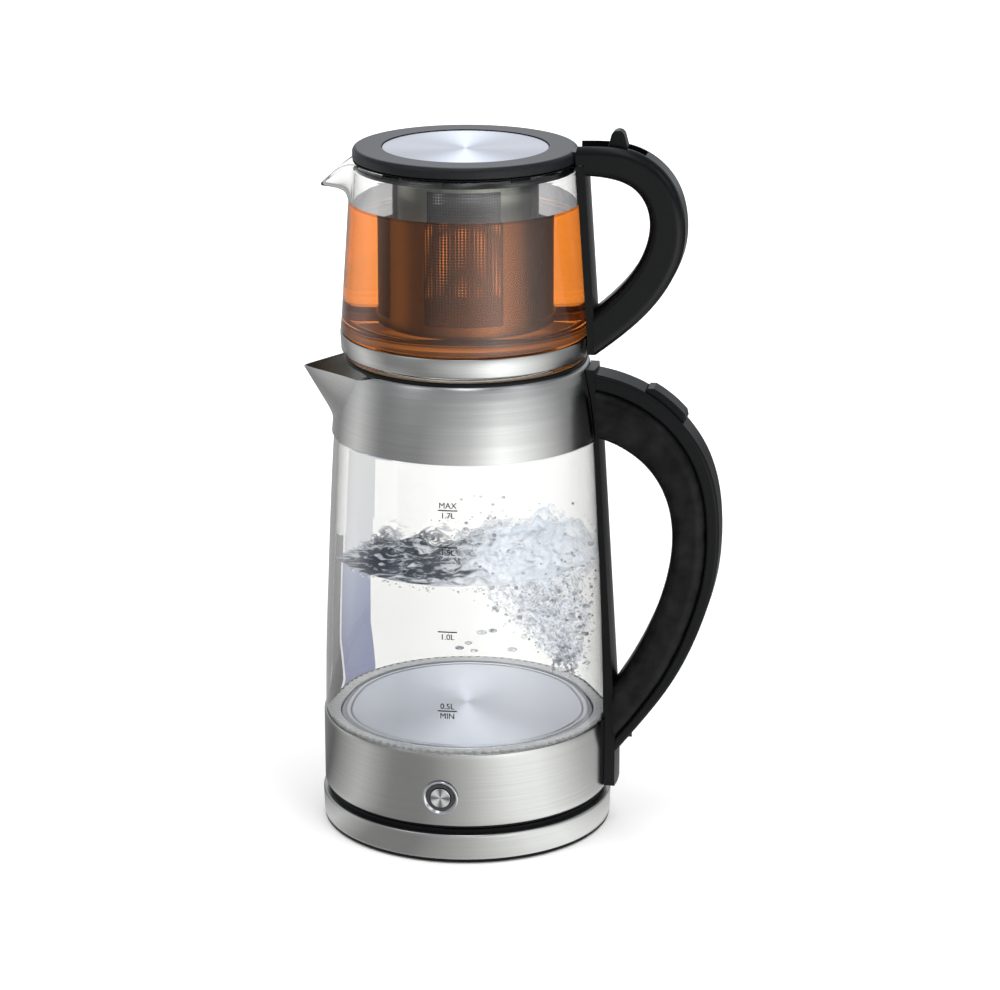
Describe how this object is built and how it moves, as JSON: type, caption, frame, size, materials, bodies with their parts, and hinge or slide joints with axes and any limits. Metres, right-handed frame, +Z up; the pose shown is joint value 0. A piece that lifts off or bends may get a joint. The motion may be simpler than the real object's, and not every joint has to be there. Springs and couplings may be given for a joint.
{
  "type": "automatic tea maker",
  "caption": "Two-level tea maker: a glass kettle with a steel collar and V spout on a round power base, and a glass teapot with a hinged lid and mesh infuser standing on its mouth.",
  "frame": {"origin": "centre of the foot ring's underside, on the table and on the common axis of base, kettle and teapot", "axes": "+Z up along the common axis, -Y the front with the power button, +X towards both handles, -X towards both spouts"},
  "size_m": [0.1997, 0.1417, 0.338],
  "materials": {
    "black_rubber": "matt",
    "black_plastic": "fine grain",
    "satin_black": "satin",
    "soft_touch": "soft-touch, slightly mottled",
    "brushed_steel": "brushed round the body",
    "spun_steel": "spun, with a radial sheen",
    "basket_steel": "plain pressed sheet",
    "mesh_steel": "fine etched square mesh",
    "zinc_steel": "plated",
    "element_sheath": "dull",
    "cast_aluminium": "cast",
    "contact_brass": "plain",
    "clear_glass": "clear, polished",
    "clear_silicone": "translucent",
    "chrome_trim": "polished",
    "button_steel": "satin",
    "dark_diffuser": "smoked",
    "spring_steel": "drawn wire",
    "green_board": "solder mask",
    "lamp_resin": "clear resin",
    "lead_sleeve": "matt sleeve"
  },
  "bodies": {
    "power_base": {"foot_ring": "black_rubber", "base_bottom": "black_plastic", "base_tray": "black_plastic", "base_skirt": "brushed_steel", "base_screws": "zinc_steel", "cord_inlet": "black_rubber", "connector_plug": "black_plastic", "plug_contacts": "contact_brass"},
    "kettle": {"lower_band": "brushed_steel", "bottom_cover": "black_plastic", "cover_screws": "zinc_steel", "clamp_ring": "zinc_steel", "hot_plate": "spun_steel", "heat_spreader": "cast_aluminium", "heating_element": "element_sheath", "coupler": "black_plastic", "coupler_contacts": "contact_brass", "glass_seal": "clear_silicone", "kettle_glass": "clear_glass", "collar_gasket": "clear_silicone", "collar": "brushed_steel", "mouth_ring": "satin_black", "handle_strap": "satin_black", "handle_grip": "soft_touch", "handle_spine": "satin_black", "handle_screws": "zinc_steel", "release_spring": "spring_steel", "button_bezel": "chrome_trim", "light_ring": "dark_diffuser", "button_housing": "black_plastic", "button_spring": "spring_steel", "switch_board": "green_board", "tact_switch": "black_plastic", "indicator_lamps": "lamp_resin", "control_leads": "lead_sleeve"},
    "power_button": {"power_button": "button_steel"},
    "release_button": {"release_button": "satin_black"},
    "teapot": {"teapot_glass": "clear_glass", "pot_band": "brushed_steel", "teapot_strap": "satin_black", "teapot_grip": "satin_black", "hinge_pin": "zinc_steel"},
    "teapot_lid": {"lid_ring": "satin_black", "thumb_knob": "satin_black", "lid_insert": "spun_steel", "lid_liner": "black_plastic"},
    "infuser": {"infuser_rim": "black_plastic", "infuser_basket": "basket_steel", "infuser_mesh": "mesh_steel"}
  },
  "joints": [
    {"name": "kettle_lift", "type": "slide", "parent": "power_base", "child": "kettle", "axis": [0, 0, 1], "range_m": [0, 0.06]},
    {"name": "power_button_press", "type": "slide", "parent": "kettle", "child": "power_button", "axis": [0, 1, 0], "range_m": [0, 0.0015], "stiffness_N_per_m": 800, "springref_m": -0.001, "deforming": ["button_spring"]},
    {"name": "release_button_press", "type": "slide", "parent": "kettle", "child": "release_button", "axis": [-0.6225, 0, -0.7826], "range_m": [0, 0.0025], "stiffness_N_per_m": 600, "springref_m": -0.001, "deforming": ["release_spring"]},
    {"name": "teapot_lift", "type": "slide", "parent": "kettle", "child": "teapot", "axis": [0, 0, 1], "range_m": [0, 0.08]},
    {"name": "lid_hinge", "type": "hinge", "parent": "teapot", "child": "teapot_lid", "pos_m": [0.071, 0, 0.326], "axis": [0, 1, 0], "range_deg": [0, 85]},
    {"name": "infuser_lift", "type": "slide", "parent": "teapot", "child": "infuser", "axis": [0, 0, 1], "range_m": [0, 0.0223]}
  ],
  "couplings": [
    {"joint": "infuser_lift", "follows": "lid_hinge", "m_per_rad": 0.015}
  ]
}
